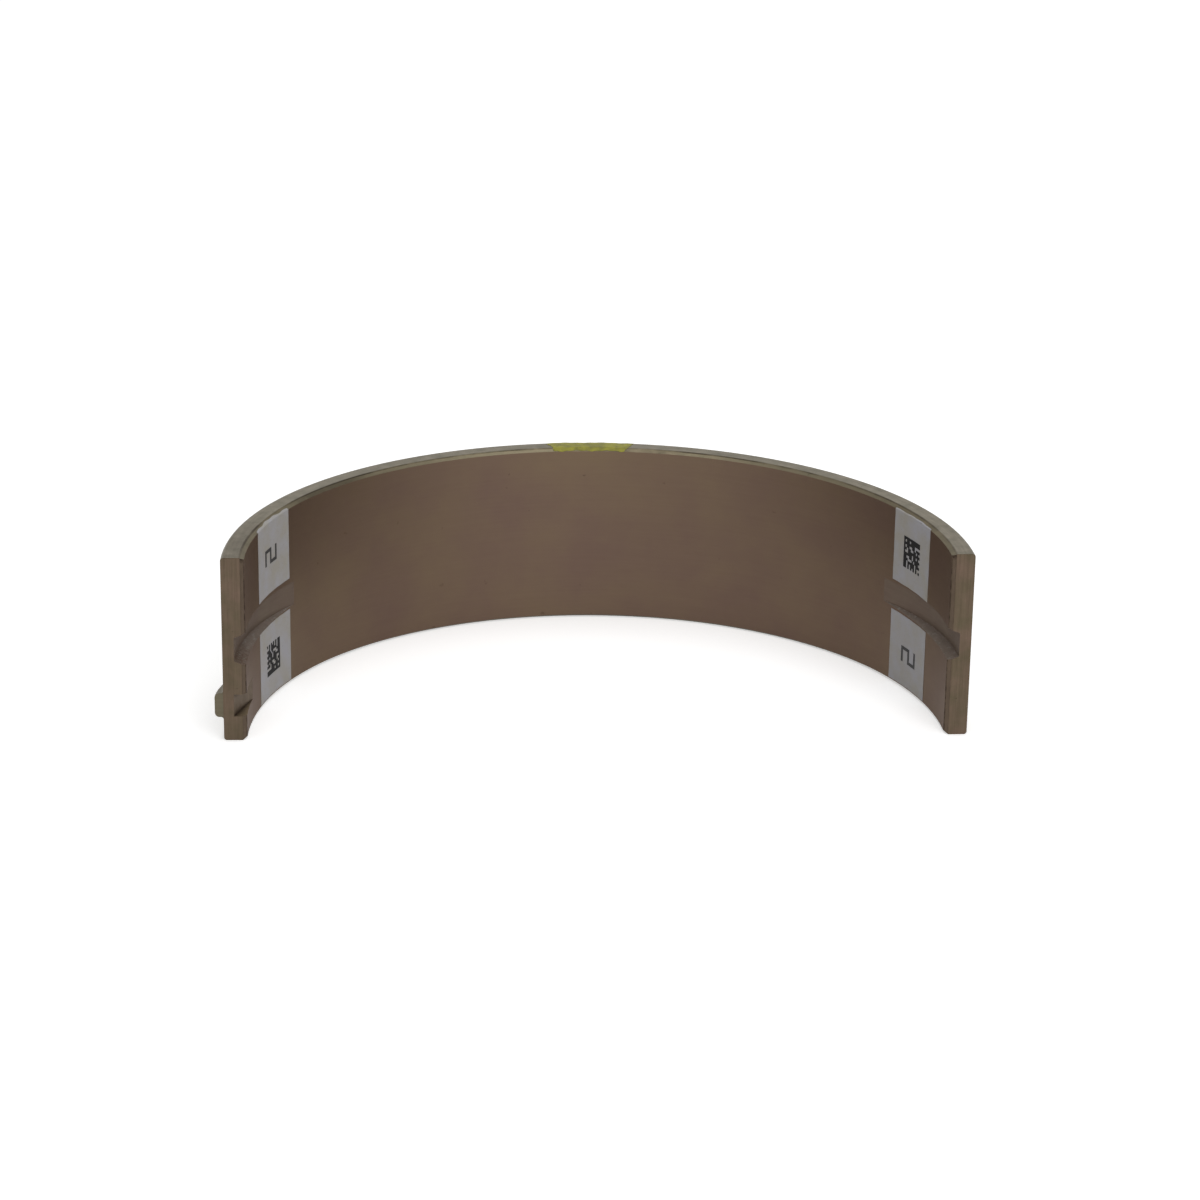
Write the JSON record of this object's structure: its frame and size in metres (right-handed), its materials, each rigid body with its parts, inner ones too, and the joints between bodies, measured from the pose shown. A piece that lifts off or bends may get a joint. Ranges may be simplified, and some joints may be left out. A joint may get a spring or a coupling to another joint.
{
  "type": "engine bearing shell",
  "caption": "Half-round plain bearing shell with a smooth bore, an oil groove that tapers away from each joint face, and a locating lug; it carries an engine's rotating journal.",
  "frame": {"origin": "on the bore axis, half way along the shell", "axes": "+Z along the bore axis, away from the end nearer the lug; +Y from the axis to the crown; the lug is at the joint face on the -X side"},
  "size_m": [0.071, 0.0346, 0.0182],
  "materials": {
    "shell_metal": "fine bored and plated, satin"
  },
  "bodies": {
    "root": {"bearing_shell": "shell_metal"}
  },
  "joints": []
}
